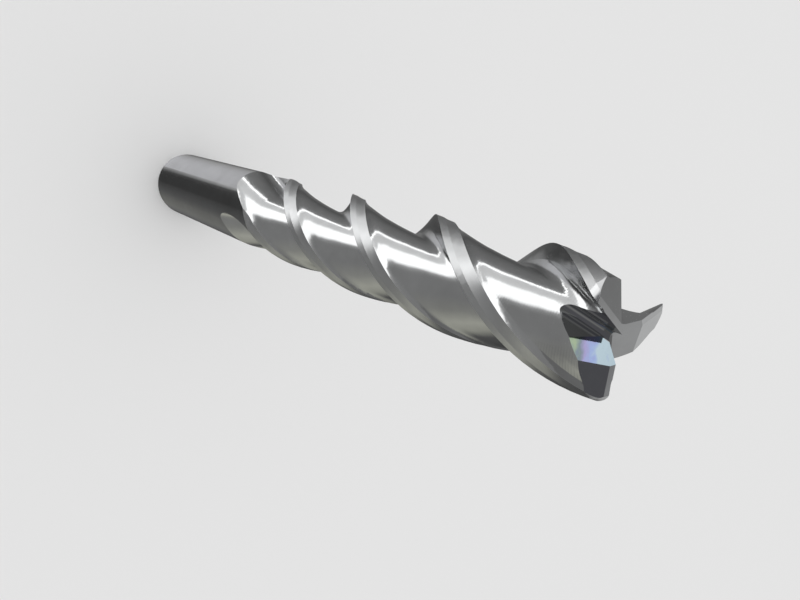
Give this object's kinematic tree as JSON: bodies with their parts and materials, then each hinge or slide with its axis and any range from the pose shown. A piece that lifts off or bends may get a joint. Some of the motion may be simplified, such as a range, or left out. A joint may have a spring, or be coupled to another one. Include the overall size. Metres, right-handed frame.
{
  "type": "endmill",
  "caption": "Long fluted end mill of ground carbide: plain round shank, helical flutes with relieved lands, rounded corners and gashed end teeth that cut to the centre.",
  "frame": {"origin": "centre of the flat end of the shank", "axes": "+Z runs along the tool from the shank to the cutting end; at the tip the corner of the long tooth lies on the +X side; seen from the cutting end the tool cuts counter-clockwise about +Z"},
  "size_m": [0.019, 0.019, 0.1651],
  "materials": {
    "carbide": "bright uncoated ground carbide"
  },
  "bodies": {
    "root": {"endmill": "carbide"}
  },
  "joints": []
}
